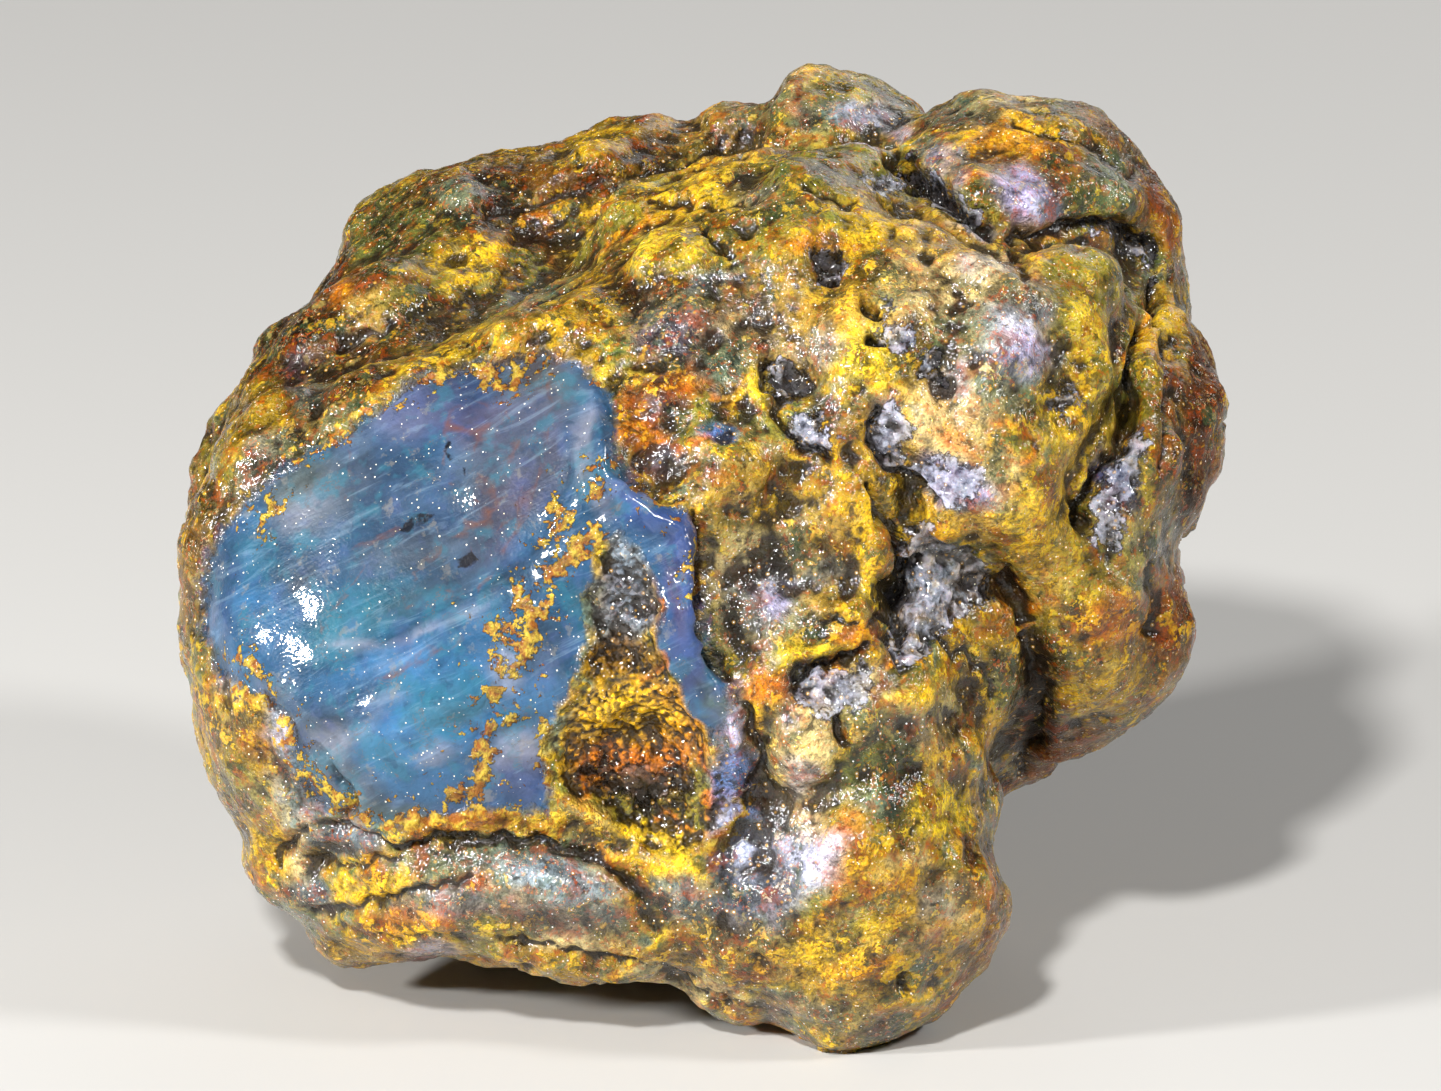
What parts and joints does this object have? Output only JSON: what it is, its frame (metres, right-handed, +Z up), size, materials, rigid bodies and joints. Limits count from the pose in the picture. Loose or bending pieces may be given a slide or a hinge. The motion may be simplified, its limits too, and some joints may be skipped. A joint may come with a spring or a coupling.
{
  "type": "rough blue amber nodule",
  "caption": "Rough nodule of blue amber: a lumpy, creased resin stone with a smooth glossy blue window in an ochre and olive rind, resting on a worn flat base.",
  "frame": {"origin": "middle of the stone's width and depth, on the ground under it", "axes": "+Z up from the ground it rests on, +X to the right as seen from its blue face and along its longest side, -Y towards the viewer of its blue face"},
  "size_m": [0.0662, 0.0568, 0.0528],
  "materials": {
    "amber": "weathered fossil resin: waxy to glossy, ochre and olive rind over a smooth blue broken face, with rusty and grey sandy patches"
  },
  "bodies": {
    "root": {"amber_nodule": "amber"}
  },
  "joints": []
}
